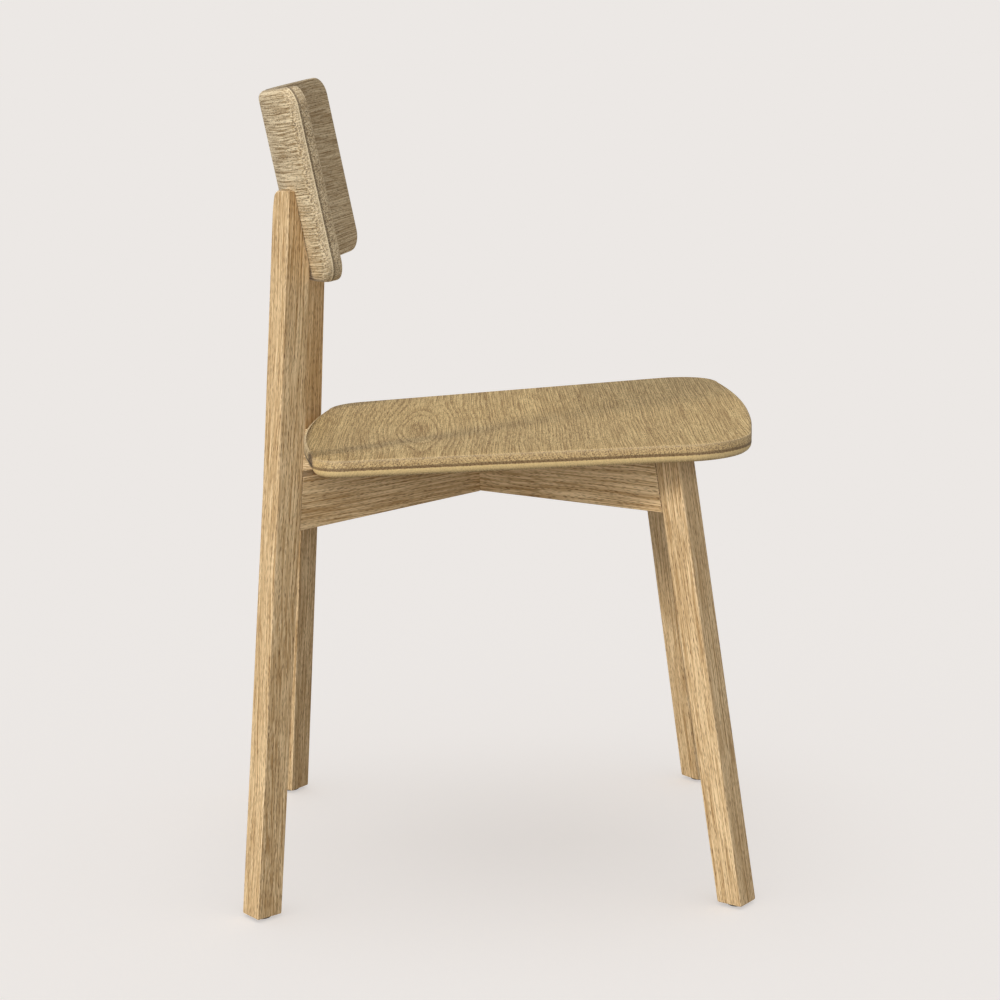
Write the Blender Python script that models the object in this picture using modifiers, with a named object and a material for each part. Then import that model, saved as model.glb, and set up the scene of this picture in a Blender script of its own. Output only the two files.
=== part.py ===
"""Oak dining chair: four splayed legs on crossed rails, a moulded seat and a curved backrest.

Metres, +Z up, +Y to the rear. The chair faces -Y, and its left is the sitter's left, at +X.
"""

import math

import bmesh
import bpy
from mathutils import Matrix, Vector

# Fits
FIT = 0.0003                     # gap between faces that touch
POCKET_END = 0.0006              # spare depth at the end of a blind hole

# Legs: square posts, turned so that two faces lie along the crossed rails
LEG_SECTION = 0.028
ARRIS = 0.0020                   # rounding of the long corners
JOINT_HEIGHT = 0.420             # height at which the two spacings below hold
JOINT_HALF_TRACK = 0.151
JOINT_HALF_BASE = 0.1915
SPLAY = 0.117                    # sideways lean per metre of height
FRONT_RAKE = 0.122               # fore-and-aft lean per metre of height
REAR_RAKE_BELOW = 0.080
REAR_RAKE_ABOVE = 0.068
REAR_LEG_TOP = 0.704

# Seat: a moulded panel that rises to the front
SEAT_THICKNESS = 0.018
SEAT_HEIGHT = 0.4547             # top of the seat's edge above the crossing
SEAT_RISE = 0.0407               # per metre towards the front
SEAT_FRONT = 0.2745              # from the crossing to the middle of the front edge
SEAT_REAR = 0.1787               # from the crossing to the middle of the rear edge
SEAT_HALF_FRONT = 0.2185
SEAT_HALF_REAR = 0.1760
SEAT_FRONT_BOW = 0.0115
SEAT_REAR_BOW = 0.016
SEAT_FRONT_RADIUS = 0.062
SEAT_REAR_RADIUS = 0.034
SEAT_CORNER_SHARES = (0.30, 0.25)  # of the rows, for the front and rear corners
SEAT_DISH = 0.005
SEAT_EDGE = 0.0025               # rounding of the upper edge
SEAT_UNDER_EDGE = 0.0080         # and of the lower one

# Crossed rails
RAIL_UNDER_REAR = 0.377
RAIL_UNDER_CROSSING = 0.385
RAIL_UNDER_FRONT = 0.386
LAP_HEIGHT = 0.411               # where the two halves of the cross-lap meet
LAP_CUT_LENGTH = 0.12
LAP_CUT_HEIGHT = 0.10

# Backrest: a panel of even thickness on a cylinder that leans back
BACK_RADIUS = 0.370              # of the rear face
BACK_LEAN = math.radians(10.3)
BACK_HALF_WIDTH = 0.170
BACK_THICKNESS = 0.018
BACK_CENTRE_Y = 0.1945           # rear face at its middle, behind the crossing
BACK_CENTRE_Z = 0.700
BACK_ABOVE = 0.096
BACK_BELOW = 0.091
BACK_CORNER = 0.020
BACK_CORNER_SHARE = 0.30         # of the rows, for each end's corners
BACK_EDGE = 0.0018               # rounding of the front edge
BACK_REAR_EDGE = 0.0080          # and of the rear one
CLEARANCE_MARGIN = 0.010
CLEARANCE_REACH = 0.150
CLEARANCE_DEPTH = 0.080

# Loose tenons between legs and rails
TENON_LENGTH = 0.036
TENON_THICKNESS = 0.010
TENON_WIDTH = 0.030
TENON_HEIGHT = 0.406
TENON_ROUND = 0.0011

# Dowels between rear legs and backrest
DOWEL_RADIUS = 0.004
DOWEL_IN_BACK = 0.0110
DOWEL_IN_LEG = 0.0130
DOWEL_HEIGHTS = (0.662, 0.688)

# Seat screws and their threaded inserts
SCREW_ALONG_RAIL = 0.095         # from the crossing
SCREW_GRIP = 0.0350              # from the face under the screw's head to the seat
HEAD_RADIUS = 0.0060
HEAD_DEPTH = 0.0040
SHANK_RADIUS = 0.0030
KEY_RADIUS = 0.0023
KEY_DEPTH = 0.0024
TIP_CHAMFER = 0.0006
BORE_REACH = 0.060               # half length of a cutter that goes right through
INSERT_RADIUS = 0.0050
INSERT_LENGTH = 0.0100
INSERT_INSET = 0.0009            # above the seat's underside

# Floor glides
GLIDE_RADIUS = 0.0090
GLIDE_THICKNESS = 0.0025
GLIDE_CHAMFER = 0.0004
PIN_RADIUS = 0.0015
PIN_LENGTH = 0.0120

HALF_DIAGONAL = LEG_SECTION * math.sqrt(0.5)
REAR_FOOT_Y = JOINT_HALF_BASE + REAR_RAKE_BELOW * JOINT_HEIGHT
DIAGONAL_ANGLE = math.atan2(JOINT_HALF_BASE, JOINT_HALF_TRACK)
CORNER_REACH = HALF_DIAGONAL * math.sin(DIAGONAL_ANGLE + math.radians(45))
CROSSING_Y = (SEAT_FRONT - REAR_FOOT_Y - CORNER_REACH + ARRIS * 0.4) / 2

SIDES = {"left": 1, "right": -1}
ENDS = {"rear": 1, "front": -1}

COLOURS = {
    "oak_solid": ("#C9AE84", 0.55, 0.0),
    "oak_laminated": ("#C2A473", 0.52, 0.0),
    "beech": ("#D8B78C", 0.60, 0.0),
    "steel_zinc": ("#B9BDC0", 0.35, 1.0),
    "brass": ("#C8A85A", 0.35, 1.0),
    "nylon": ("#4A4640", 0.60, 0.0),
}


def linear(value):
    """One sRGB channel, 0 to 1, as linear light."""
    if value <= 0.04045:
        return value / 12.92
    return ((value + 0.055) / 1.055) ** 2.4


def make_material(name):
    code, roughness, metallic = COLOURS[name]
    channels = [linear(int(code[i:i + 2], 16) / 255) for i in (1, 3, 5)]
    material = bpy.data.materials.new(name)
    material.use_nodes = True
    shader = material.node_tree.nodes["Principled BSDF"]
    shader.inputs["Base Color"].default_value = (*channels, 1.0)
    shader.inputs["Roughness"].default_value = roughness
    shader.inputs["Metallic"].default_value = metallic
    return material


def new_collection(name):
    collection = bpy.data.collections.new(name)
    bpy.context.scene.collection.children.link(collection)
    return collection


def add_object(name, shape, collection, material=None):
    """Turn a bmesh into a named object."""
    bmesh.ops.recalc_face_normals(shape, faces=shape.faces)
    mesh = bpy.data.meshes.new(name)
    shape.to_mesh(mesh)
    shape.free()
    item = bpy.data.objects.new(name, mesh)
    collection.objects.link(item)
    if material:
        mesh.materials.append(material)
    return item


def add_cutter(name, shape, cutters):
    item = add_object(name, shape, cutters)
    item.display_type = "WIRE"
    item.hide_render = True
    return item


def cut(item, cutter):
    modifier = item.modifiers.new(cutter.name, "BOOLEAN")
    modifier.operation = "DIFFERENCE"
    modifier.solver = "EXACT"
    modifier.object = cutter


def round_edges(item, width, segments, angle=50):
    modifier = item.modifiers.new("rounded edges", "BEVEL")
    modifier.width = width
    modifier.segments = segments
    modifier.limit_method = "ANGLE"
    modifier.angle_limit = math.radians(angle)


def unit_box():
    shape = bmesh.new()
    bmesh.ops.create_cube(shape, size=1.0)
    return shape


def rod(radius, length, sides=20):
    """A cylinder along Z, centred on the origin."""
    shape = bmesh.new()
    size = {"radius1": radius, "radius2": radius, "depth": length}
    bmesh.ops.create_cone(shape, cap_ends=True, segments=sides, **size)
    return shape


def turned(name, profile, steps, collection, material):
    """A solid of revolution about Z, from a profile that runs down its outer side."""
    shape = bmesh.new()
    points = [shape.verts.new((radius, 0.0, height)) for radius, height in profile]
    for upper, lower in zip(points, points[1:]):
        shape.edges.new((upper, lower))
    item = add_object(name, shape, collection, material)
    screw = item.modifiers.new("turned", "SCREW")
    screw.steps = steps
    screw.render_steps = steps
    screw.use_merge_vertices = True
    screw.merge_threshold = 0.00005
    return item


def leg_axis(side, end, height):
    """Centre of a leg at a height."""
    rise = height - JOINT_HEIGHT
    rake = FRONT_RAKE
    if end > 0:
        rake = REAR_RAKE_ABOVE if rise > 0 else REAR_RAKE_BELOW
    x = side * (JOINT_HALF_TRACK - SPLAY * rise)
    y = CROSSING_Y + end * (JOINT_HALF_BASE - rake * rise)
    return Vector((x, y, height))


def outward(side, end):
    """Unit vector in plan from the crossing to a leg."""
    return Vector((side * JOINT_HALF_TRACK, end * JOINT_HALF_BASE, 0.0)).normalized()


def across(side, end):
    direction = outward(side, end)
    return Vector((-direction.y, direction.x, 0.0))


def face_distance(end, height):
    """From the crossing to a leg's inner face, along the diagonal."""
    centre = leg_axis(1, end, height) - Vector((0.0, CROSSING_Y, height))
    return centre.dot(outward(1, end)) - LEG_SECTION / 2


def seat_edge_height(y):
    """Height of the seat's top along its edge."""
    return SEAT_HEIGHT - SEAT_RISE * (y - CROSSING_Y)


def seat_underside(y):
    return seat_edge_height(y) - SEAT_THICKNESS


def place(shape, axis, centre):
    """Turn a shape's Z axis to a direction and move it to a centre."""
    turn = Vector((0.0, 0.0, 1.0)).rotation_difference(axis).to_matrix().to_4x4()
    bmesh.ops.transform(shape, matrix=Matrix.Translation(centre) @ turn, verts=shape.verts)


def make_leg(name, side, end, parts, material):
    """A square post that follows the leg's axis, with a kink in a rear leg at the rail."""
    foot = GLIDE_THICKNESS + FIT
    top = REAR_LEG_TOP if end > 0 else JOINT_HEIGHT + LEG_SECTION
    shape = unit_box()
    if end > 0:
        level = (JOINT_HEIGHT - foot) / (top - foot) - 0.5
        everything = shape.verts[:] + shape.edges[:] + shape.faces[:]
        bmesh.ops.bisect_plane(shape, geom=everything, plane_co=(0, 0, level), plane_no=(0, 0, 1))
    for vert in shape.verts:
        height = foot + (vert.co.z + 0.5) * (top - foot)
        offset = outward(side, end) * vert.co.x * LEG_SECTION + across(side, end) * vert.co.y * LEG_SECTION
        if end < 0 and vert.co.z > 0:
            height = seat_underside((leg_axis(side, end, top) + offset).y) - FIT
        vert.co = leg_axis(side, end, height) + offset
    leg = add_object(name, shape, parts, material)
    round_edges(leg, ARRIS, 2)
    return leg


def rail_underside(share):
    """Height of a rail's lower edge, for -1 at its front end, 0 at the crossing and 1 at its rear end."""
    reach = RAIL_UNDER_REAR if share > 0 else RAIL_UNDER_FRONT
    return RAIL_UNDER_CROSSING + (reach - RAIL_UNDER_CROSSING) * abs(share)


def make_rail(name, side, parts, material):
    """A rail from the rear leg on one side, through the crossing, to the front leg on the other."""
    shape = unit_box()
    everything = shape.verts[:] + shape.edges[:] + shape.faces[:]
    bmesh.ops.bisect_plane(shape, geom=everything, plane_co=(0, 0, 0), plane_no=(1, 0, 0))
    direction = outward(side, 1)
    for vert in shape.verts:
        share = round(vert.co.x * 2)
        sideways = across(side, 1) * vert.co.y * LEG_SECTION
        reach = share * (face_distance(share, JOINT_HEIGHT) - FIT)
        height = rail_underside(share)
        if vert.co.z > 0:
            height = seat_underside(CROSSING_Y + (sideways + direction * reach).y) - FIT
        reach = share * (face_distance(share, height) - FIT) if share else 0.0
        vert.co = Vector((0.0, CROSSING_Y, height)) + sideways + direction * reach
    rail = add_object(name, shape, parts, material)
    round_edges(rail, ARRIS * 0.6, 2)
    return rail


def lap_cutter(name, side, upper, cutters):
    """The notch in one rail that the other rail, on this side, passes through."""
    shape = unit_box()
    reach = 0.5 if upper else -0.5
    middle = LAP_HEIGHT + reach * (LAP_CUT_HEIGHT - FIT)
    width = LEG_SECTION + 2 * FIT
    for vert in shape.verts:
        along = outward(side, 1) * vert.co.x * LAP_CUT_LENGTH
        sideways = across(side, 1) * vert.co.y * width
        vert.co = Vector((0.0, CROSSING_Y, middle + vert.co.z * LAP_CUT_HEIGHT)) + along + sideways
    return add_cutter(name, shape, cutters)


def tenon_shape(end, side, grow):
    """A loose tenon across the joint between a leg and its rail, or its mortise when grown."""
    shape = unit_box()
    direction = outward(side, end)
    distance = face_distance(end, TENON_HEIGHT)
    centre = Vector((0.0, CROSSING_Y, TENON_HEIGHT)) + direction * distance
    for vert in shape.verts:
        along = vert.co.x * (TENON_LENGTH + 2 * POCKET_END * bool(grow))
        sideways = vert.co.y * (TENON_THICKNESS + 2 * grow)
        height = vert.co.z * (TENON_WIDTH + 2 * grow)
        vert.co = centre + direction * along + across(side, end) * sideways + Vector((0, 0, height))
    return shape


def add_tenon(label, side, end, leg, rail, parts, cutters, material):
    tenon = add_object(f"tenon_{label}", tenon_shape(end, side, 0.0), parts, material)
    mortise = add_cutter(f"mortise_{label}", tenon_shape(end, side, FIT), cutters)
    cut(leg, mortise)
    cut(rail, mortise)
    round_edges(tenon, TENON_ROUND, 2)


def corner_walk(share, radius, corner_share):
    """Distance from an end of a panel and how far its corner draws in, for a share of the way."""
    if share < corner_share:
        turn = share / corner_share * math.pi / 2
        return radius * (1 - math.cos(turn)), radius * (1 - math.sin(turn))
    return None, 0.0


def panel_row(share, length, radii, corner_shares):
    """Distance along a panel and its draw-in, for a share from 0 at one end to 1 at the other."""
    distance, inset = corner_walk(share, radii[0], corner_shares[0])
    if distance is not None:
        return distance, inset
    distance, inset = corner_walk(1 - share, radii[1], corner_shares[1])
    if distance is not None:
        return length - distance, inset
    middle = (share - corner_shares[0]) / (1 - sum(corner_shares))
    return radii[0] + middle * (length - sum(radii)), 0.0


def edge_levels(thickness, first, second, steps):
    """Depth under a panel's first face and inset from its outline, ring by ring, for two edge radii."""
    levels = []
    for step in range(steps[0] + 1):
        turn = step / steps[0] * math.pi / 2
        levels.append((first * (1 - math.cos(turn)), first * (1 - math.sin(turn))))
    for step in range(steps[1] + 1):
        turn = step / steps[1] * math.pi / 2
        levels.append((thickness - second * (1 - math.sin(turn)), second * (1 - math.cos(turn))))
    return levels


def panel(columns, rows, levels, point):
    """A closed panel: a grid of points for its first and last level, joined by rings round the edge."""
    shape = bmesh.new()
    across_steps = range(columns + 1)
    along_steps = range(rows + 1)
    layers = []
    for level in levels:
        cap = level in (levels[0], levels[-1])
        layer = {}
        for i in across_steps:
            for j in along_steps:
                if cap or i in (0, columns) or j in (0, rows):
                    place_here = point(2 * i / columns - 1, 2 * j / rows - 1, *level)
                    layer[i, j] = shape.verts.new(place_here)
        layers.append(layer)
    for cap in (layers[0], layers[-1]):
        for i in range(columns):
            for j in range(rows):
                shape.faces.new((cap[i, j], cap[i + 1, j], cap[i + 1, j + 1], cap[i, j + 1]))
    rim = [(i, 0) for i in range(columns)] + [(columns, j) for j in range(rows)]
    rim += [(i, rows) for i in range(columns, 0, -1)] + [(0, j) for j in range(rows, 0, -1)]
    for upper, lower in zip(layers, layers[1:]):
        for here, there in zip(rim, rim[1:] + rim[:1]):
            shape.faces.new((upper[here], upper[there], lower[there], lower[here]))
    return shape


def seat_point(u, v, depth, inset):
    """A point of the seat for u across, v from front, -1, to rear, 1, a depth and an inset."""
    full = SEAT_FRONT + SEAT_REAR - SEAT_FRONT_BOW - SEAT_REAR_BOW
    radii = (SEAT_FRONT_RADIUS - inset, SEAT_REAR_RADIUS - inset)
    distance, drawn = panel_row((v + 1) / 2, full - 2 * inset, radii, SEAT_CORNER_SHARES)
    share = (distance + inset) / full
    half = SEAT_HALF_FRONT + (SEAT_HALF_REAR - SEAT_HALF_FRONT) * share - inset - drawn
    bow = (SEAT_REAR_BOW * share ** 2 - SEAT_FRONT_BOW * (1 - share) ** 2) * (1 - u * u)
    y = CROSSING_Y - SEAT_FRONT + SEAT_FRONT_BOW + distance + inset + bow
    height = seat_edge_height(y) - depth
    if not depth and abs(u) < 1 and abs(v) < 1:
        height -= seat_dish(u, v)
    return Vector((u * half, y, height))


def seat_dish(u, v):
    """Depth of the hollow in the seat's top, deepest a little behind the middle."""
    return SEAT_DISH * math.cos(u * math.pi / 2) ** 2 * math.cos((v - 0.2) * math.pi / 2.4) ** 2


def make_seat(parts, material):
    levels = edge_levels(SEAT_THICKNESS, SEAT_EDGE, SEAT_UNDER_EDGE, (2, 4))
    return add_object("seat", panel(16, 20, levels, seat_point), parts, material)


def back_point(x, along, offset=0.0):
    """A point on the backrest's rear face, or behind it by an offset."""
    radius = BACK_RADIUS + offset
    turn = math.asin(x / BACK_RADIUS)
    forward = BACK_RADIUS - radius * math.cos(turn)
    y = CROSSING_Y + BACK_CENTRE_Y + along * math.sin(BACK_LEAN) - forward * math.cos(BACK_LEAN)
    z = BACK_CENTRE_Z + along * math.cos(BACK_LEAN) + forward * math.sin(BACK_LEAN)
    return Vector((radius * math.sin(turn), y, z))


def back_normal(x):
    """Direction out of the backrest's rear face."""
    turn = math.asin(x / BACK_RADIUS)
    level = math.cos(turn)
    return Vector((math.sin(turn), level * math.cos(BACK_LEAN), -level * math.sin(BACK_LEAN)))


def back_point_at_height(x, height):
    forward = BACK_RADIUS * (1 - math.cos(math.asin(x / BACK_RADIUS)))
    along = (height - BACK_CENTRE_Z - forward * math.sin(BACK_LEAN)) / math.cos(BACK_LEAN)
    return back_point(x, along)


def back_panel_point(u, v, depth, inset):
    """A point of the backrest for u across, v from bottom, -1, to top, 1, a depth and an inset."""
    length = BACK_BELOW + BACK_ABOVE - 2 * inset
    radius = BACK_CORNER - inset
    shares = (BACK_CORNER_SHARE, BACK_CORNER_SHARE)
    distance, drawn = panel_row((v + 1) / 2, length, (radius, radius), shares)
    limit = math.asin((BACK_HALF_WIDTH - inset - drawn) / BACK_RADIUS)
    return back_point(BACK_RADIUS * math.sin(u * limit), distance + inset - BACK_BELOW, -depth)


def make_backrest(parts, material):
    levels = edge_levels(BACK_THICKNESS, BACK_REAR_EDGE, BACK_EDGE, (4, 2))
    return add_object("backrest", panel(22, 14, levels, back_panel_point), parts, material)


def clearance_point(u, v, depth, _inset):
    limit = math.asin((BACK_HALF_WIDTH + CLEARANCE_MARGIN) / BACK_RADIUS)
    return back_point(BACK_RADIUS * math.sin(u * limit), v * CLEARANCE_REACH, FIT - depth)


def back_clearance(cutters):
    """The space in front of the backrest's rear face, which the rear legs stop at."""
    levels = [(0.0, 0.0), (CLEARANCE_DEPTH, 0.0)]
    return add_cutter("back_clearance", panel(22, 2, levels, clearance_point), cutters)


def add_back_dowels(label, side, leg, back, parts, cutters, material):
    for number, height in enumerate(DOWEL_HEIGHTS, start=1):
        x = leg_axis(side, 1, height).x
        normal = back_normal(x)
        spot = back_point_at_height(x, height)
        centre = spot + normal * (DOWEL_IN_LEG - DOWEL_IN_BACK) / 2
        length = DOWEL_IN_LEG + DOWEL_IN_BACK
        pin = rod(DOWEL_RADIUS, length, 16)
        place(pin, normal, centre)
        dowel = add_object(f"back_dowel_{label}_{number}", pin, parts, material)
        round_edges(dowel, 0.0006, 1)
        hole = rod(DOWEL_RADIUS + FIT, length + 2 * POCKET_END, 16)
        place(hole, normal, centre)
        pocket = add_cutter(f"back_dowel_hole_{label}_{number}", hole, cutters)
        cut(leg, pocket)
        cut(back, pocket)


def screw_spot(side, end):
    """Where a seat screw stands, in plan."""
    return Vector((0.0, CROSSING_Y, 0.0)) + outward(side, end) * SCREW_ALONG_RAIL


def make_screw(parts, cutters, steel):
    """The first seat screw, standing on the origin under its head's upper face."""
    tip = SCREW_GRIP + INSERT_INSET + INSERT_LENGTH
    profile = [(0.0, tip), (SHANK_RADIUS - TIP_CHAMFER, tip), (SHANK_RADIUS, tip - TIP_CHAMFER)]
    profile += [(SHANK_RADIUS, 0.0), (HEAD_RADIUS, 0.0), (HEAD_RADIUS, -HEAD_DEPTH * 0.6)]
    profile += [(HEAD_RADIUS * 0.72, -HEAD_DEPTH), (0.0, -HEAD_DEPTH)]
    screw = turned("seat_screw", profile, 18, parts, steel)
    key = rod(KEY_RADIUS, KEY_DEPTH * 2, 6)
    bmesh.ops.translate(key, vec=(0, 0, -HEAD_DEPTH), verts=key.verts)
    socket = add_cutter("hex_socket", key, cutters)
    cut(screw, socket)
    return screw, socket


def add_seat_fixings(rails, seat, parts, cutters, steel, brass):
    """Four screws, up through the rails into threaded inserts in the seat."""
    for side_name, side in SIDES.items():
        for end_name, end in ENDS.items():
            label = f"{end_name}_{side_name}"
            spot = screw_spot(side, end)
            rail = rails[side * end]
            seating = Vector((spot.x, spot.y, seat_underside(spot.y) - SCREW_GRIP))
            screw, socket = make_screw(parts, cutters, steel)
            screw.name = f"seat_screw_{label}"
            socket.name = f"hex_socket_{label}"
            screw.location = seating
            socket.location = seating
            bore = rod(SHANK_RADIUS + FIT, 2 * BORE_REACH, 18)
            bmesh.ops.translate(bore, vec=seating, verts=bore.verts)
            cut(rail, add_cutter(f"screw_bore_{label}", bore, cutters))
            sink = rod(HEAD_RADIUS + 2 * FIT, BORE_REACH, 18)
            below = Vector((0, 0, BORE_REACH / 2 - FIT))
            bmesh.ops.translate(sink, vec=seating - below, verts=sink.verts)
            cut(rail, add_cutter(f"screw_sink_{label}", sink, cutters))
            add_insert(label, spot, seat, parts, cutters, brass)


def add_insert(label, spot, seat, parts, cutters, brass):
    base = seat_underside(spot.y) + INSERT_INSET
    inner = SHANK_RADIUS + FIT
    profile = [(inner, INSERT_LENGTH), (INSERT_RADIUS, INSERT_LENGTH), (INSERT_RADIUS, 0.0)]
    profile += [(inner, 0.0), (inner, INSERT_LENGTH)]
    insert = turned(f"seat_insert_{label}", profile, 18, parts, brass)
    insert.location = (spot.x, spot.y, base)
    depth = INSERT_LENGTH + INSERT_INSET + POCKET_END
    hole = rod(INSERT_RADIUS + FIT, 2 * depth, 18)
    centre = Vector((spot.x, spot.y, base - INSERT_INSET))
    bmesh.ops.translate(hole, vec=centre, verts=hole.verts)
    cut(seat, add_cutter(f"insert_hole_{label}", hole, cutters))


def add_glide(label, side, end, leg, parts, cutters, nylon):
    """A nylon disc under a foot, held by a pin in the end grain."""
    top = GLIDE_THICKNESS + PIN_LENGTH
    profile = [(0.0, top), (PIN_RADIUS, top), (PIN_RADIUS, GLIDE_THICKNESS), (GLIDE_RADIUS, GLIDE_THICKNESS)]
    profile += [(GLIDE_RADIUS, GLIDE_CHAMFER), (GLIDE_RADIUS - GLIDE_CHAMFER, 0.0), (0.0, 0.0)]
    glide = turned(f"glide_{label}", profile, 20, parts, nylon)
    foot = leg_axis(side, end, GLIDE_THICKNESS)
    glide.location = (foot.x, foot.y, 0.0)
    hole = rod(PIN_RADIUS + FIT, 2 * (PIN_LENGTH + POCKET_END), 12)
    bmesh.ops.translate(hole, vec=foot, verts=hole.verts)
    cut(leg, add_cutter(f"pin_hole_{label}", hole, cutters))


def clear_scene():
    for item in list(bpy.data.objects):
        bpy.data.objects.remove(item, do_unlink=True)


def build_frame(parts, cutters, oak, beech, nylon):
    """Legs, crossed rails, loose tenons and glides. Returns legs by name and rails by direction."""
    rails = {
        1: make_rail("rail_rear_left_to_front_right", 1, parts, oak),
        -1: make_rail("rail_rear_right_to_front_left", -1, parts, oak),
    }
    cut(rails[1], lap_cutter("lap_from_above", -1, True, cutters))
    cut(rails[-1], lap_cutter("lap_from_below", 1, False, cutters))
    legs = {}
    for side_name, side in SIDES.items():
        for end_name, end in ENDS.items():
            label = f"{end_name}_{side_name}"
            leg = make_leg(f"leg_{label}", side, end, parts, oak)
            add_tenon(label, side, end, leg, rails[side * end], parts, cutters, beech)
            add_glide(label, side, end, leg, parts, cutters, nylon)
            legs[label] = leg
    return legs, rails


def build_chair():
    clear_scene()
    parts = new_collection("dining_chair")
    cutters = new_collection("cutters")
    finish = {name: make_material(name) for name in COLOURS}
    legs, rails = build_frame(parts, cutters, finish["oak_solid"], finish["beech"], finish["nylon"])
    seat = make_seat(parts, finish["oak_laminated"])
    back = make_backrest(parts, finish["oak_laminated"])
    add_seat_fixings(rails, seat, parts, cutters, finish["steel_zinc"], finish["brass"])
    clearance = back_clearance(cutters)
    for side_name, side in SIDES.items():
        leg = legs[f"rear_{side_name}"]
        cut(leg, clearance)
        add_back_dowels(side_name, side, leg, back, parts, cutters, finish["beech"])


build_chair()
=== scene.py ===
"""Looks of the oak dining chair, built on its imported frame."""

import math

import bmesh
import bpy
from mathutils import Matrix, Vector


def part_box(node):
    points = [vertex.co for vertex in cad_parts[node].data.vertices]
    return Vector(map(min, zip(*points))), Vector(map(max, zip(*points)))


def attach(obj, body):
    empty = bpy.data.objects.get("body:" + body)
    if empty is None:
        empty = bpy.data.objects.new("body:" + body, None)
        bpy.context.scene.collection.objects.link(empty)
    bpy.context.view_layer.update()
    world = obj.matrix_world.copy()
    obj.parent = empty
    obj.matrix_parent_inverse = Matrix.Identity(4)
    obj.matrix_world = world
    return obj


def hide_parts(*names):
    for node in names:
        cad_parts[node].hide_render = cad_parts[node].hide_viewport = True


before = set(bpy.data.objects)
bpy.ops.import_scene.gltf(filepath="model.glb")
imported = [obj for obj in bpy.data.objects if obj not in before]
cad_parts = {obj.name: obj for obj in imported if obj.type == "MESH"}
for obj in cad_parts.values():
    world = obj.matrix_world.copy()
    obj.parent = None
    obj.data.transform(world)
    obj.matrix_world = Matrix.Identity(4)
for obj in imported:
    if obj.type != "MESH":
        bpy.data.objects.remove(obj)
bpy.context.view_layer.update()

# Sizes in metres, as the frame has them
FIT = 0.0003
POCKET_END = 0.0006
LEG_SECTION = 0.028
ARRIS = 0.0020
JOINT_HEIGHT = 0.420
JOINT_HALF_TRACK = 0.151
JOINT_HALF_BASE = 0.1915
SPLAY = 0.117
FRONT_RAKE = 0.122
REAR_RAKE_BELOW = 0.080
REAR_RAKE_ABOVE = 0.068
REAR_LEG_TOP = 0.704
FOOT_HEIGHT = 0.0028

SEAT_THICKNESS = 0.018
SEAT_HEIGHT = 0.4547
SEAT_RISE = 0.0407
SEAT_FRONT = 0.2745
SEAT_REAR = 0.1787
SEAT_HALF_FRONT = 0.2185
SEAT_HALF_REAR = 0.1760
SEAT_FRONT_BOW = 0.0115
SEAT_REAR_BOW = 0.016
SEAT_FRONT_RADIUS = 0.062
SEAT_REAR_RADIUS = 0.034
SEAT_CORNER_SHARES = (0.30, 0.25)
SEAT_DISH = 0.005
SEAT_EDGE = 0.0025
SEAT_UNDER_EDGE = 0.0080

RAIL_UNDER_REAR = 0.377
RAIL_UNDER_CROSSING = 0.385
RAIL_UNDER_FRONT = 0.386
LAP_HEIGHT = 0.411

BACK_RADIUS = 0.370
BACK_LEAN = math.radians(10.3)
BACK_HALF_WIDTH = 0.170
BACK_THICKNESS = 0.018
BACK_CENTRE_Y = 0.1945
BACK_CENTRE_Z = 0.700
BACK_ABOVE = 0.096
BACK_BELOW = 0.091
BACK_CORNER = 0.020
BACK_CORNER_SHARE = 0.30
BACK_EDGE = 0.0018
BACK_REAR_EDGE = 0.0080

TENON_HEIGHT = 0.406
TENON_SIZE = (0.036, 0.010, 0.030)
DOWEL_RADIUS = 0.004
DOWEL_HEIGHTS = (0.662, 0.688)
DOWEL_IN_BACK = 0.0110
DOWEL_IN_LEG = 0.0130
SCREW_ALONG_RAIL = 0.095
SCREW_GRIP = 0.035
SHANK_RADIUS = 0.003
HEAD_RADIUS = 0.006
INSERT_RADIUS = 0.005
INSERT_HOLE = 0.0115
PIN_RADIUS = 0.0015
PIN_HOLE = 0.0126
GLIDE_THICKNESS = 0.0025
LAP_CUT_LENGTH = 0.12
LAP_CUT_HEIGHT = 0.1

# Saw cuts that ease a rear leg's outer top corner: how far down and how far in each one starts
CREST_CUTS = ((0.0130, 0.0022), (0.0080, 0.0040), (0.0042, 0.0062), (0.0016, 0.0092))

SIDES = {"left": 1, "right": -1}
ENDS = {"rear": 1, "front": -1}


def crossing_from_frame():
    """The crossing's place along Y: halfway between the two insert rows, which stand evenly about it."""
    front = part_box("seat_insert_front_left")
    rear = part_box("seat_insert_rear_left")
    return (front[0].y + front[1].y + rear[0].y + rear[1].y) / 4


CROSSING_Y = crossing_from_frame()


# ---------------------------------------------------------------- where things are

def leg_axis(side, end, height):
    """Centre of a leg at a height."""
    rise = height - JOINT_HEIGHT
    rake = FRONT_RAKE
    if end > 0:
        rake = REAR_RAKE_ABOVE if rise > 0 else REAR_RAKE_BELOW
    x = side * (JOINT_HALF_TRACK - SPLAY * rise)
    y = CROSSING_Y + end * (JOINT_HALF_BASE - rake * rise)
    return Vector((x, y, height))


def outward(side, end):
    return Vector((side * JOINT_HALF_TRACK, end * JOINT_HALF_BASE, 0.0)).normalized()


def across(side, end):
    direction = outward(side, end)
    return Vector((-direction.y, direction.x, 0.0))


def face_distance(end, height):
    """From the crossing to a leg's inner face, along the diagonal."""
    centre = leg_axis(1, end, height) - Vector((0.0, CROSSING_Y, height))
    return centre.dot(outward(1, end)) - LEG_SECTION / 2


def seat_edge_height(y):
    return SEAT_HEIGHT - SEAT_RISE * (y - CROSSING_Y)


def seat_underside(y):
    return seat_edge_height(y) - SEAT_THICKNESS


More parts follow.
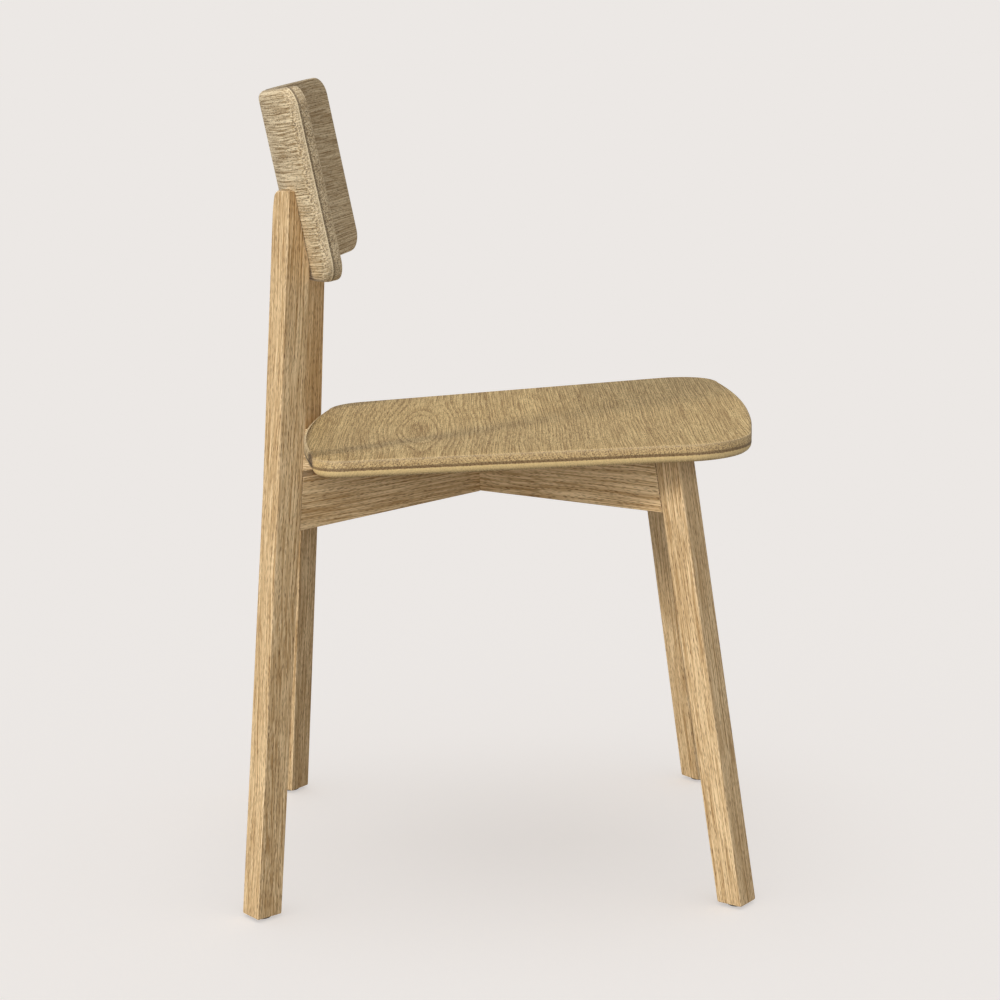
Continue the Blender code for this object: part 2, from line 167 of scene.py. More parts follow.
def under_seat(side, end):
    """The point of the seat's underside over a screw."""
    spot = Vector((0.0, CROSSING_Y, 0.0)) + outward(side, end) * SCREW_ALONG_RAIL
    return Vector((spot.x, spot.y, seat_underside(spot.y)))


# ---------------------------------------------------------------- bench work

def deselect():
    if bpy.context.object and bpy.context.object.mode != "OBJECT":
        bpy.ops.object.mode_set(mode="OBJECT")
    bpy.ops.object.select_all(action="DESELECT")


def take(name):
    """Name the primitive just added and put its place into its mesh."""
    piece = bpy.context.object
    piece.name = name
    piece.data.name = name
    bpy.ops.object.transform_apply(location=True, rotation=True, scale=True)
    return piece


def open_piece(piece):
    deselect()
    piece.select_set(True)
    bpy.context.view_layer.objects.active = piece
    bpy.ops.object.mode_set(mode="EDIT")
    bpy.ops.mesh.select_mode(type="VERT")


def close_piece():
    bpy.ops.object.mode_set(mode="OBJECT")


def select_points(piece, wanted):
    """In edit mode, select the points whose place passes a test."""
    shape = bmesh.from_edit_mesh(piece.data)
    for face in shape.faces:
        face.select = False
    for edge in shape.edges:
        edge.select = False
    for vert in shape.verts:
        vert.select = wanted(vert.co)
    shape.select_flush(True)
    bmesh.update_edit_mesh(piece.data)


def slide(piece, wanted, vector):
    """Move the points that pass a test."""
    select_points(piece, wanted)
    bpy.ops.transform.translate(value=vector)


def saw(point, normal):
    """Cut the open piece with a plane, take off what lies on the normal's side, and close the cut."""
    bpy.ops.mesh.select_all(action="SELECT")
    bpy.ops.mesh.bisect(plane_co=point, plane_no=normal, clear_outer=True, use_fill=True)


def apply_all(piece):
    deselect()
    piece.select_set(True)
    bpy.context.view_layer.objects.active = piece
    for modifier in list(piece.modifiers):
        bpy.ops.object.modifier_apply(modifier=modifier.name)


def round_edges(piece, width, segments, angle=50):
    modifier = piece.modifiers.new("rounded", "BEVEL")
    modifier.width = width
    modifier.segments = segments
    modifier.limit_method = "ANGLE"
    modifier.angle_limit = math.radians(angle)
    apply_all(piece)


def cut(piece, cutters):
    """Take cutters out of a piece, then put them away."""
    for cutter in cutters:
        modifier = piece.modifiers.new(cutter.name, "BOOLEAN")
        modifier.operation = "DIFFERENCE"
        modifier.solver = "EXACT"
        modifier.object = cutter
    apply_all(piece)
    for cutter in cutters:
        bpy.data.objects.remove(cutter, do_unlink=True)


def face_outward(piece):
    open_piece(piece)
    bpy.ops.mesh.select_all(action="SELECT")
    bpy.ops.mesh.remove_doubles(threshold=0.00002)
    bpy.ops.mesh.normals_make_consistent(inside=False)
    close_piece()


def finish_shading(piece, angle=35):
    """Smooth over the rounded edges while the flats stay flat."""
    deselect()
    piece.select_set(True)
    bpy.context.view_layer.objects.active = piece
    bpy.ops.object.shade_smooth_by_angle(angle=math.radians(angle))
    modifier = piece.modifiers.new("flats", "WEIGHTED_NORMAL")
    modifier.keep_sharp = True
    modifier.weight = 90
    apply_all(piece)


# ---------------------------------------------------------------- materials

def linear(code):
    """An sRGB hex colour as linear light."""
    channels = []
    for start in (1, 3, 5):
        value = int(code[start:start + 2], 16) / 255
        channels.append(value / 12.92 if value <= 0.04045 else ((value + 0.055) / 1.055) ** 2.4)
    return (*channels, 1.0)


def add(tree, kind, inputs=None, ramp=None, **settings):
    """A node with its settings, its values or links by input, and a ramp's stops."""
    node = tree.nodes.new("ShaderNode" + kind)
    for name, value in settings.items():
        setattr(node, name, value)
    for key, value in (inputs or {}).items():
        if isinstance(value, bpy.types.NodeSocket):
            tree.links.new(value, node.inputs[key])
        else:
            node.inputs[key].default_value = value
    if ramp:
        stops = node.color_ramp.elements
        while len(stops) < len(ramp):
            stops.new(1.0)
        for stop, (position, colour) in zip(stops, ramp):
            stop.position = position
            stop.color = linear(colour) if isinstance(colour, str) else (colour, colour, colour, 1.0)
    return node


def new_material(name):
    material = bpy.data.materials.new(name)
    material.use_nodes = True
    tree = material.node_tree
    return material, tree, tree.nodes["Principled BSDF"]


def oak(name, grain, top, origin, pith, ring, tones, plies_and_highlight=None, attribute=None, seed=0.0,
        figure=0.95, rings=0.35):
    """Oak, planed, sanded and oiled: pale growth rings, open pores drawn out along the grain,
    ray flecks, darker end grain, satin where the wood is dense and dull in the pores.

    grain and top are the directions of the fibres and of the board's face, origin its corner;
    pith is where the tree's middle lay from there, and ring is the width of a year's growth;
    figure and rings are how strongly the fibres and the growth rings show.
    """
    material, tree, shader = new_material(name)
    grain = Vector(grain).normalized()
    side = Vector(top).cross(grain).normalized()
    top = grain.cross(side)
    turn = Matrix((grain, side, top)).transposed().to_euler()
    place = add(tree, "TexCoord")
    if attribute:
        wood = add(tree, "Attribute", attribute_name=attribute).outputs["Vector"]
        wood = add(tree, "VectorMath", {0: wood, 1: (seed, 0.0, 0.0)}, operation="ADD").outputs[0]
    else:
        board = add(tree, "Mapping",
                    {"Vector": place.outputs["Object"], "Location": origin, "Rotation": turn},
                    vector_type="TEXTURE").outputs[0]
        wood = add(tree, "VectorMath", {0: board, 1: (seed, 0.0, 0.0)}, operation="ADD").outputs[0]

    # slow wander of the grain: 4 mm to either side over about a third of a metre
    slow = add(tree, "VectorMath", {0: wood, 1: (3.2, 11.0, 11.0)}, operation="MULTIPLY").outputs[0]
    wander = add(tree, "TexNoise", {"Vector": slow, "Scale": 1.0, "Detail": 2.0, "Roughness": 0.5})
    wander = add(tree, "VectorMath", {0: wander.outputs["Color"], 1: (0.5, 0.5, 0.5)},
                 operation="SUBTRACT").outputs[0]
    wander = add(tree, "VectorMath", {0: wander, 1: (0.0, 0.016, 0.016)}, operation="MULTIPLY").outputs[0]
    bent = add(tree, "VectorMath", {0: wood, 1: wander}, operation="ADD").outputs[0]

    # growth rings about the pith
    radial = add(tree, "VectorMath", {0: bent, 1: (0.0, pith[0], pith[1])}, operation="SUBTRACT").outputs[0]
    radial = add(tree, "VectorMath", {0: radial, 1: (0.012, 1.0, 1.0)}, operation="MULTIPLY").outputs[0]
    reach = add(tree, "VectorMath", {0: radial}, operation="LENGTH").outputs["Value"]
    years = add(tree, "Math", {0: reach, 1: ring}, operation="DIVIDE").outputs[0]
    uneven = add(tree, "TexNoise", {"W": years, "Scale": 0.45, "Detail": 1.0},
                 noise_dimensions="1D").outputs["Fac"]
    years = add(tree, "Math", {0: uneven, 1: 1.6, 2: years}, operation="MULTIPLY_ADD").outputs[0]
    year = add(tree, "Math", {0: years}, operation="FRACT").outputs[0]
    early = add(tree, "ValToRGB", {"Fac": year},
                ramp=[(0.0, 0.75), (0.10, 1.0), (0.34, 0.42), (0.62, 0.12), (0.90, 0.0),
                      (1.0, 0.5)]).outputs["Color"]

    # pores: 0.3 mm across and 3 to 10 mm long in life, drawn 0.9 mm across so that they show
    thread = add(tree, "VectorMath", {0: bent, 1: (130.0, 1050.0, 1050.0)}, operation="MULTIPLY").outputs[0]
    pore = add(tree, "TexVoronoi", {"Vector": thread, "Scale": 1.0, "Randomness": 1.0}).outputs["Distance"]
    pore = add(tree, "MapRange", {"Value": pore, "From Min": 0.46, "From Max": 0.20},
               interpolation_type="SMOOTHSTEP").outputs[0]
    share = add(tree, "Math", {0: early, 1: 0.55, 2: 0.45}, operation="MULTIPLY_ADD").outputs[0]
    pore = add(tree, "Math", {0: pore, 1: share}, operation="MULTIPLY").outputs[0]

    # ray flecks, 12 mm long, thin across the rings
    fleck = add(tree, "VectorMath", {0: wood, 1: (75.0, 900.0, 170.0)}, operation="MULTIPLY").outputs[0]
    fleck = add(tree, "TexVoronoi", {"Vector": fleck, "Scale": 1.0, "Randomness": 1.0}).outputs["Distance"]
    fleck = add(tree, "MapRange", {"Value": fleck, "From Min": 0.36, "From Max": 0.12}).outputs[0]

    # fibres, 60 mm long, drawn nearly a millimetre wide so that they show
    fine = add(tree, "VectorMath", {0: bent, 1: (16.0, 1050.0, 1050.0)}, operation="MULTIPLY").outputs[0]
    fibre = add(tree, "TexNoise",
                {"Vector": fine, "Scale": 1.0, "Detail": 1.0, "Roughness": 0.5}).outputs["Fac"]
    broad = add(tree, "VectorMath", {0: bent, 1: (5.0, 90.0, 90.0)}, operation="MULTIPLY").outputs[0]
    streak = add(tree, "TexNoise",
                 {"Vector": broad, "Scale": 1.0, "Detail": 2.0, "Roughness": 0.5}).outputs["Fac"]

    # ends of the fibres, where the pores are seen as dots
    ending = add(tree, "VectorMath", {0: place.outputs["Normal"], 1: grain},
                 operation="DOT_PRODUCT").outputs["Value"]
    endwise = add(tree, "Math", {0: ending}, operation="ABSOLUTE").outputs[0]
    ending = add(tree, "MapRange", {"Value": endwise, "From Min": 0.45, "From Max": 0.85}).outputs[0]
    dots = add(tree, "VectorMath", {0: wood, 1: (60.0, 560.0, 640.0)}, operation="MULTIPLY").outputs[0]
    dots = add(tree, "TexVoronoi", {"Vector": dots, "Scale": 1.0, "Randomness": 1.0}).outputs["Distance"]
    dots = add(tree, "MapRange", {"Value": dots, "From Min": 0.50, "From Max": 0.15}).outputs[0]
    dots = add(tree, "Math", {0: dots, 1: ending}, operation="MULTIPLY").outputs[0]

    light, dark, hole = tones
    shade = add(tree, "Math", {0: early, 1: rings, 2: 0.5 - 0.3 * rings - 2.1 * figure},
                operation="MULTIPLY_ADD").outputs[0]
    shade = add(tree, "Math", {0: fibre, 1: 3.2 * figure, 2: shade}, operation="MULTIPLY_ADD").outputs[0]
    shade = add(tree, "Math", {0: streak, 1: 1.0 * figure, 2: shade}, operation="MULTIPLY_ADD",
                use_clamp=True).outputs[0]
    colour = add(tree, "Mix", {"Factor": shade, 6: linear(light), 7: linear(dark)},
                 data_type="RGBA").outputs[2]
    amount = add(tree, "Math", {0: fleck, 1: 0.22}, operation="MULTIPLY").outputs[0]
    colour = add(tree, "Mix", {"Factor": amount, 6: colour, 7: linear(light)}, data_type="RGBA").outputs[2]
    amount = add(tree, "Math", {0: pore, 1: 0.95}, operation="MULTIPLY").outputs[0]
    colour = add(tree, "Mix", {"Factor": amount, 6: colour, 7: linear(hole)}, data_type="RGBA").outputs[2]
    amount = add(tree, "Math", {0: ending, 1: 0.12}, operation="MULTIPLY").outputs[0]
    colour = add(tree, "Mix", {"Factor": amount, 6: colour, 7: linear(dark)}, data_type="RGBA").outputs[2]
    amount = add(tree, "Math", {0: dots, 1: 0.95}, operation="MULTIPLY").outputs[0]
    colour = add(tree, "Mix", {"Factor": amount, 6: colour, 7: linear(hole)}, data_type="RGBA").outputs[2]
    if plies_and_highlight:
        # glue lines and core layers, seen only where the panel's edge is cut; in the backrest the ramp also
        # holds a painted highlight where the rear rounding ends
        depth = add(tree, "SeparateXYZ", {0: wood}).outputs[2]
        depth = add(tree, "Math", {0: depth, 1: -1.0 / plies_and_highlight[0]}, operation="MULTIPLY",
                    use_clamp=True).outputs[0]
        glue = add(tree, "ValToRGB", {"Fac": depth}, ramp=plies_and_highlight[1]).outputs["Color"]
        flat = add(tree, "VectorMath", {0: place.outputs["Normal"], 1: top},
                   operation="DOT_PRODUCT").outputs["Value"]
        if attribute:
            # painted shade: the veneer on the front face is drawn darker, for the shade that falls there
            flat = add(tree, "Attribute", attribute_name="face").outputs["Fac"]
            front_painted_shade = add(tree, "MapRange",
                       {"Value": depth, "From Min": 0.93, "From Max": 0.97, "To Max": 0.34}).outputs[0]
            colour = add(tree, "Mix", {"Factor": front_painted_shade, 6: colour, 7: linear(dark)},
                         data_type="RGBA").outputs[2]
        flat = add(tree, "Math", {0: flat}, operation="ABSOLUTE").outputs[0]
        rim = add(tree, "MapRange", {"Value": flat, "From Min": 0.90, "From Max": 0.55}).outputs[0]
        broken = add(tree, "MapRange", {"Value": dots, "To Min": 0.75, "To Max": 1.0}).outputs[0]
        # pale layers, and in the backrest the painted highlight along the end of its rear rounding
        pale = add(tree, "MapRange", {"Value": glue, "From Min": 0.5, "From Max": 0.0}).outputs[0]
        pale = add(tree, "Math", {0: pale, 1: rim}, operation="MULTIPLY").outputs[0]
        colour = add(tree, "Mix", {"Factor": pale, 6: colour, 7: linear(light)},
                     data_type="RGBA").outputs[2]
        glue = add(tree, "MapRange", {"Value": glue, "From Min": 0.5, "From Max": 1.0}).outputs[0]
        glue = add(tree, "Math", {0: glue, 1: rim}, operation="MULTIPLY").outputs[0]
        glue = add(tree, "Math", {0: glue, 1: broken}, operation="MULTIPLY", use_clamp=True).outputs[0]
        colour = add(tree, "Mix", {"Factor": glue, 6: colour, 7: linear(hole)}, data_type="RGBA").outputs[2]

    # arrises are drawn a little paler, a painted highlight where the rounded edges catch the light
    if plies_and_highlight:
        arris_highlight = add(tree, "NewGeometry").outputs["Pointiness"]
        arris_highlight = add(tree, "MapRange",
                   {"Value": arris_highlight, "From Min": 0.52, "From Max": 0.58, "To Max": 0.45}).outputs[0]
    else:
        square = endwise
        for way in (side, top):
            near = add(tree, "VectorMath", {0: place.outputs["Normal"], 1: way},
                       operation="DOT_PRODUCT").outputs["Value"]
            near = add(tree, "Math", {0: near}, operation="ABSOLUTE").outputs[0]
            square = add(tree, "Math", {0: square, 1: near}, operation="MAXIMUM").outputs[0]
        arris_highlight = add(tree, "MapRange",
                   {"Value": square, "From Min": 0.96, "From Max": 0.85, "To Max": 0.75}).outputs[0]
    colour = add(tree, "Mix", {"Factor": arris_highlight, 6: colour, 7: linear(ARRIS_HIGHLIGHT)}, data_type="RGBA").outputs[2]
    tree.links.new(colour, shader.inputs["Base Color"])

    dull = add(tree, "Math", {0: pore, 1: 0.22, 2: 0.46}, operation="MULTIPLY_ADD").outputs[0]
    dull = add(tree, "Math", {0: fibre, 1: 0.12, 2: dull}, operation="MULTIPLY_ADD").outputs[0]
    tree.links.new(dull, shader.inputs["Roughness"])
    low = add(tree, "Math", {0: pore, 1: dots}, operation="MAXIMUM").outputs[0]
    height = add(tree, "Math", {0: low, 1: -0.8, 2: 1.0}, operation="MULTIPLY_ADD").outputs[0]
    height = add(tree, "Math", {0: fibre, 1: 0.35, 2: height}, operation="MULTIPLY_ADD").outputs[0]
    height = add(tree, "Math", {0: early, 1: -0.12, 2: height}, operation="MULTIPLY_ADD").outputs[0]
    bump = add(tree, "Bump", {"Height": height, "Strength": 0.45, "Distance": 0.00018})
    tree.links.new(bump.outputs[0], shader.inputs["Normal"])
    shader.inputs["IOR"].default_value = 1.47
    shader.inputs["Specular IOR Level"].default_value = 0.40
    return material


# ---------------------------------------------------------------- legs

def tenon_pocket(end, side):
    """The mortise for a loose tenon, as a block."""
    direction = outward(side, end)
    centre = Vector((0.0, CROSSING_Y, TENON_HEIGHT)) + direction * face_distance(end, TENON_HEIGHT)
    heading = math.atan2(direction.y, direction.x)
    bpy.ops.mesh.primitive_cube_add(size=1, location=centre, rotation=(0, 0, heading))
    length, thickness, width = TENON_SIZE
    bpy.context.object.scale = (length + 2 * POCKET_END, thickness + 2 * FIT, width + 2 * FIT)
    return take("pocket")


def drill(radius, low, high, sides=24):
    """A round bore from one point to another."""
    middle = (low + high) / 2
    turn = Vector((0, 0, 1)).rotation_difference(high - low).to_euler()
    bpy.ops.mesh.primitive_cylinder_add(vertices=sides, radius=radius, depth=(high - low).length,
                                        location=middle, rotation=turn)
    return take("bore")


def rear_face_line(x, height):
    """The point of the backrest's rear face at a height, and the direction out of it."""
    turn = math.asin(x / BACK_RADIUS)
    forward = BACK_RADIUS * (1 - math.cos(turn))
    along = (height - BACK_CENTRE_Z - forward * math.sin(BACK_LEAN)) / math.cos(BACK_LEAN)
    y = CROSSING_Y + BACK_CENTRE_Y + along * math.sin(BACK_LEAN) - forward * math.cos(BACK_LEAN)
    level = math.cos(turn)
    normal = Vector((math.sin(turn), level * math.cos(BACK_LEAN), -level * math.sin(BACK_LEAN)))
    return Vector((x, y, height)), normal


def dowel_holes(side):
    holes = []
    for height in DOWEL_HEIGHTS:
        spot, normal = rear_face_line(leg_axis(side, 1, height).x, height)
        low = spot - normal * (DOWEL_IN_BACK + POCKET_END)
        high = spot + normal * (DOWEL_IN_LEG + POCKET_END)
        holes.append(drill(DOWEL_RADIUS + FIT, low, high))
    return holes


def back_hollow():
    """The round of the backrest's rear face, which the rear legs are coped to."""
    axis = Vector((0.0, math.sin(BACK_LEAN), math.cos(BACK_LEAN)))
    middle = Vector((0.0, CROSSING_Y + BACK_CENTRE_Y, BACK_CENTRE_Z))
    middle += Vector((0.0, -math.cos(BACK_LEAN), math.sin(BACK_LEAN))) * BACK_RADIUS
    turn = Vector((0, 0, 1)).rotation_difference(axis).to_euler()
    bpy.ops.mesh.primitive_cylinder_add(vertices=360, radius=BACK_RADIUS + FIT, depth=0.300,
                                        location=middle, rotation=turn)
    return take("round")


def make_leg(name, side, end):
    """A square post drawn up from its foot, stopped under the seat or coped to the backrest."""
    direction = outward(side, end)
    foot = leg_axis(side, end, FOOT_HEIGHT)
    deselect()
    bpy.ops.mesh.primitive_plane_add(size=LEG_SECTION, location=foot,
                                     rotation=(0, 0, math.atan2(direction.y, direction.x)))
    leg = take(name)
    open_piece(leg)
    bpy.ops.mesh.select_all(action="SELECT")
    level = foot
    stages = [JOINT_HEIGHT, REAR_LEG_TOP] if end > 0 else [JOINT_HEIGHT + LEG_SECTION]
    for height in stages:
        step = leg_axis(side, end, height) - level
        level = leg_axis(side, end, height)
        bpy.ops.mesh.extrude_region_move(TRANSFORM_OT_translate={"value": step})
    if end < 0:
        slope = Vector((0.0, SEAT_RISE, 1.0))
        saw((0.0, CROSSING_Y, seat_underside(CROSSING_Y) - FIT), slope)
    else:
        # the outer top corner is eased over 13 mm of height
        crest = leg_axis(side, end, REAR_LEG_TOP)
        outer = Vector((0.0, 1.0, 0.0))
        tip = crest + outer * (LEG_SECTION * (abs(direction.x) + abs(direction.y)) / 2)
        for drop, inset in CREST_CUTS:
            slope = Vector((0.0, drop, inset)).normalized()
            saw(tip - Vector((0.0, 0.0, drop)), slope)
    bpy.ops.mesh.select_all(action="SELECT")
    bpy.ops.mesh.normals_make_consistent(inside=False)
    close_piece()
    round_edges(leg, ARRIS, 2, 25 if end > 0 else 50)
    cutters = [tenon_pocket(end, side)]
    pin = leg_axis(side, end, GLIDE_THICKNESS)
    reach = Vector((0, 0, PIN_HOLE))
    cutters.append(drill(PIN_RADIUS + FIT, pin - reach, pin + reach, 16))
    if end > 0:
        cutters.append(back_hollow())
        cutters += dowel_holes(side)
    cut(leg, cutters)
    finish_shading(leg)
    return leg


# ---------------------------------------------------------------- crossed rails

def make_rail(name, side):
    """A rail from a rear leg, over the crossing, to the opposite front leg."""
    direction = outward(side, 1)
    angle = math.atan2(direction.y, direction.x)
    deselect()
    rear = face_distance(1, JOINT_HEIGHT) - FIT
    front = face_distance(-1, JOINT_HEIGHT) - FIT
    middle = Vector((0.0, CROSSING_Y, JOINT_HEIGHT)) + direction * (rear - front) / 2
    bpy.ops.mesh.primitive_cube_add(size=1, location=middle, rotation=(0, 0, angle))
    bpy.context.object.scale = (rear + front, LEG_SECTION, 0.08)
    rail = take(name)
    open_piece(rail)
    bpy.ops.mesh.select_all(action="SELECT")
    bpy.ops.mesh.bisect(plane_co=(0, CROSSING_Y, JOINT_HEIGHT), plane_no=direction)

    def along(co):
        return (co - Vector((0.0, CROSSING_Y, 0.0))).dot(direction)

    low = JOINT_HEIGHT - 0.04
    high = JOINT_HEIGHT + 0.04
    for share, under in ((1, RAIL_UNDER_REAR), (0, RAIL_UNDER_CROSSING), (-1, RAIL_UNDER_FRONT)):
        for level, target in ((low, under), (high, high)):
            reach = 0.0
            if share:
                reach = (face_distance(share, target) - face_distance(share, JOINT_HEIGHT)) * share

            def wanted(co):
                here = along(co)
                near = here > 0.1 if share > 0 else here < -0.1 if share < 0 else abs(here) < 0.01
                return near and abs(co.z - level) < 0.0005

            slide(rail, wanted, direction * reach + Vector((0.0, 0.0, target - level)))
    saw((0.0, CROSSING_Y, seat_underside(CROSSING_Y) - FIT), (0.0, SEAT_RISE, 1.0))
    bpy.ops.mesh.select_all(action="SELECT")
    bpy.ops.mesh.normals_make_consistent(inside=False)
    close_piece()
    round_edges(rail, ARRIS * 0.6, 2)
    cutters = [lap(-side, side > 0), tenon_pocket(1, side), tenon_pocket(-1, -side)]
    for reach_side, end in ((side, 1), (-side, -1)):
        seating = under_seat(reach_side, end) - Vector((0, 0, SCREW_GRIP))
        through = Vector((0, 0, 0.06))
        cutters.append(drill(SHANK_RADIUS + FIT, seating - Vector((0, 0, 0.001)), seating + through))
        cutters.append(drill(HEAD_RADIUS + 2 * FIT, seating - through, seating + Vector((0, 0, FIT)), 32))
    cut(rail, cutters)
    finish_shading(rail)
    return rail


def lap(side, upper):
    """The notch that lets the other rail through, from above or from below."""
    direction = outward(side, 1)
    reach = 0.5 if upper else -0.5
    low = LAP_HEIGHT - reach * FIT
    bpy.ops.mesh.primitive_cube_add(size=1, location=(0.0, CROSSING_Y, low + reach * LAP_CUT_HEIGHT),
                                    rotation=(0, 0, math.atan2(direction.y, direction.x)))
    bpy.context.object.scale = (LAP_CUT_LENGTH, LEG_SECTION + 2 * FIT, LAP_CUT_HEIGHT)
    return take("lap")


# ---------------------------------------------------------------- panels

def panel_row(share, length, radii, shares):
    """Distance along a panel and how far its corner draws in, for a share of the way."""
    if share < shares[0]:
        turn = share / shares[0] * math.pi / 2
        return radii[0] * (1 - math.cos(turn)), radii[0] * (1 - math.sin(turn))
    if share > 1 - shares[1]:
        turn = (1 - share) / shares[1] * math.pi / 2
        return length - radii[1] * (1 - math.cos(turn)), radii[1] * (1 - math.sin(turn))
    middle = (share - shares[0]) / (1 - sum(shares))
    return radii[0] + middle * (length - sum(radii)), 0.0


def edge_levels(thickness, first, second, steps):
    """Depth under the first face and inset from the outline, step by step, for two edge radii."""
    levels = []
    for step in range(steps[0] + 1):
        turn = step / steps[0] * math.pi / 2
        levels.append((first * (1 - math.cos(turn)), first * (1 - math.sin(turn))))
    for step in range(steps[1] + 1):
        turn = step / steps[1] * math.pi / 2
        levels.append((thickness - second * (1 - math.sin(turn)), second * (1 - math.cos(turn))))
    return levels


def draw_panel(name, columns, rows, levels, place):
    """A panel drawn down from a grid step by step, so that its edges are rounded as they are made."""
    deselect()
    bpy.ops.mesh.primitive_grid_add(x_subdivisions=columns, y_subdivisions=rows, size=2)
    piece = take(name)
    plan = [coordinate for vert in piece.data.vertices for coordinate in vert.co]
    for axis, key in enumerate(("across", "along")):
        piece.data.attributes.new(key, "FLOAT", "POINT").data.foreach_set("value", plan[axis::3])
    open_piece(piece)
    bpy.ops.mesh.select_all(action="SELECT")
    for number, level in enumerate(levels):
        if number:
            bpy.ops.mesh.extrude_region_move(TRANSFORM_OT_translate={"value": (0, 0, -0.001)})
        shape = bmesh.from_edit_mesh(piece.data)
        across_key = shape.verts.layers.float["across"]
        along_key = shape.verts.layers.float["along"]
        for vert in shape.verts:
            if vert.select:
                vert.co = place(vert[across_key], vert[along_key], *level)
        bmesh.update_edit_mesh(piece.data)
    close_piece()
    for key in ("across", "along"):
        piece.data.attributes.remove(piece.data.attributes[key])
    face_outward(piece)
    return piece


def seat_place(u, v, depth, inset):
    """A point of the seat: u across, v from front, -1, to rear, 1."""
    full = SEAT_FRONT + SEAT_REAR - SEAT_FRONT_BOW - SEAT_REAR_BOW
    radii = (SEAT_FRONT_RADIUS - inset, SEAT_REAR_RADIUS - inset)
    distance, drawn = panel_row((v + 1) / 2, full - 2 * inset, radii, SEAT_CORNER_SHARES)
    share = (distance + inset) / full
    half = SEAT_HALF_FRONT + (SEAT_HALF_REAR - SEAT_HALF_FRONT) * share - inset - drawn
    bow = (SEAT_REAR_BOW * share ** 2 - SEAT_FRONT_BOW * (1 - share) ** 2) * (1 - u * u)
    y = CROSSING_Y - SEAT_FRONT + SEAT_FRONT_BOW + distance + inset + bow
    height = seat_edge_height(y) - depth
    if not depth and abs(u) < 0.999 and abs(v) < 0.999:
        height -= SEAT_DISH * math.cos(u * math.pi / 2) ** 2 * math.cos((v - 0.2) * math.pi / 2.4) ** 2
    return Vector((u * half, y, height))


def make_seat():
    """A dished panel, crisp along its upper edge and well rounded underneath."""
    levels = edge_levels(SEAT_THICKNESS, SEAT_EDGE, SEAT_UNDER_EDGE, (2, 4))
    seat = draw_panel("seat_panel", 64, 80, levels, seat_place)
    cutters = []
    for side in SIDES.values():
        for end in ENDS.values():
            under = under_seat(side, end)
            depth = Vector((0, 0, INSERT_HOLE))
            cutters.append(drill(INSERT_RADIUS + FIT, under - Vector((0, 0, 0.01)), under + depth))
    cut(seat, cutters)
    finish_shading(seat)
    return seat


def back_place(u, v, depth, inset):
    """A point of the backrest: u across, v from bottom, -1, to top, 1, measured in from the rear face."""
    length = BACK_BELOW + BACK_ABOVE - 2 * inset
    radius = BACK_CORNER - inset
    shares = (BACK_CORNER_SHARE, BACK_CORNER_SHARE)
    distance, drawn = panel_row((v + 1) / 2, length, (radius, radius), shares)
    limit = math.asin((BACK_HALF_WIDTH - inset - drawn) / BACK_RADIUS)
    turn = u * limit
    along = distance + inset - BACK_BELOW
    forward = BACK_RADIUS - (BACK_RADIUS - depth) * math.cos(turn)
    y = CROSSING_Y + BACK_CENTRE_Y + along * math.sin(BACK_LEAN) - forward * math.cos(BACK_LEAN)
    z = BACK_CENTRE_Z + along * math.cos(BACK_LEAN) + forward * math.sin(BACK_LEAN)
    return Vector(((BACK_RADIUS - depth) * math.sin(turn), y, z))


def make_backrest():
    """A panel bent to one radius and leaning back, well rounded along its rear edges."""
    levels = edge_levels(BACK_THICKNESS, BACK_REAR_EDGE, BACK_EDGE, (4, 2))
    back = draw_panel("backrest_panel", 66, 56, levels, back_place)
    cutters = dowel_holes(1) + dowel_holes(-1)
    cut(back, cutters)
    finish_shading(back)
    follow_bend(back)
    return back


def follow_bend(back):
    """Store where each point lies on the flat veneer: round the bend, up it, and in from the rear face."""
    centre = Vector((0.0, CROSSING_Y + BACK_CENTRE_Y, BACK_CENTRE_Z))
    inward = Vector((0.0, -math.cos(BACK_LEAN), math.sin(BACK_LEAN)))
    upward = Vector((0.0, math.sin(BACK_LEAN), math.cos(BACK_LEAN)))
    middle = centre + inward * BACK_RADIUS
    back.data.attributes.new("veneer", "FLOAT_VECTOR", "POINT")
    back.data.attributes.new("face", "FLOAT", "POINT")
    veneer = back.data.attributes["veneer"]
    facing = back.data.attributes["face"]
    for vert in back.data.vertices:
        spoke = vert.co - middle
        out = -spoke.dot(inward)
        turn = math.atan2(vert.co.x, out)
        radius = math.hypot(vert.co.x, out)
        veneer.data[vert.index].vector = (turn * BACK_RADIUS, spoke.dot(upward), radius - BACK_RADIUS)
        spoke_way = Vector((math.sin(turn), 0.0, 0.0)) - inward * math.cos(turn)
        facing.data[vert.index].value = abs(vert.normal.dot(spoke_way))


# ---------------------------------------------------------------- finishes

# The frame's oak is pale, the seat's a little yellower and the backrest's greyer, each with its
# darker wood and its pores; all arrises take one paler tone, a painted highlight where they catch the light
ARRIS_HIGHLIGHT = "#EFDBB8"
FRAME_TONES = ("#E9CDA1", "#AD8A5B", "#705331")
PANEL_TONES = ("#E6CA90", "#A07F4C", "#5A4024")
BACK_TONES = ("#F2DFBA", "#987D55", "#4C3A26")

# Over the depth of a panel's edge: under 0.5 is a pale ply, over it a glue line or the dark core; the
# backrest's palest stripe at 0.42, where its rear rounding ends, and the paling over that rounding are a
# painted highlight along the arris
SEAT_PLIES = (0.018, [(0.0, 0.95), (0.10, 0.60), (0.40, 0.55), (0.45, 1.0), (0.56, 1.0), (0.61, 0.15),
                      (1.0, 0.20)])
BACK_PLIES_AND_HIGHLIGHT = (0.018, [(0.0, 0.5), (0.36, 0.42), (0.42, 0.0), (0.46, 0.95), (0.54, 0.95), (0.58, 0.62),
                      (0.93, 0.66), (1.0, 0.2)])


def dress(piece, wood, node):
    """Give a piece its wood, hang it on the root body, and hide the frame node it stands for."""
    piece.data.materials.append(wood)
    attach(piece, "root")
    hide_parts(node)


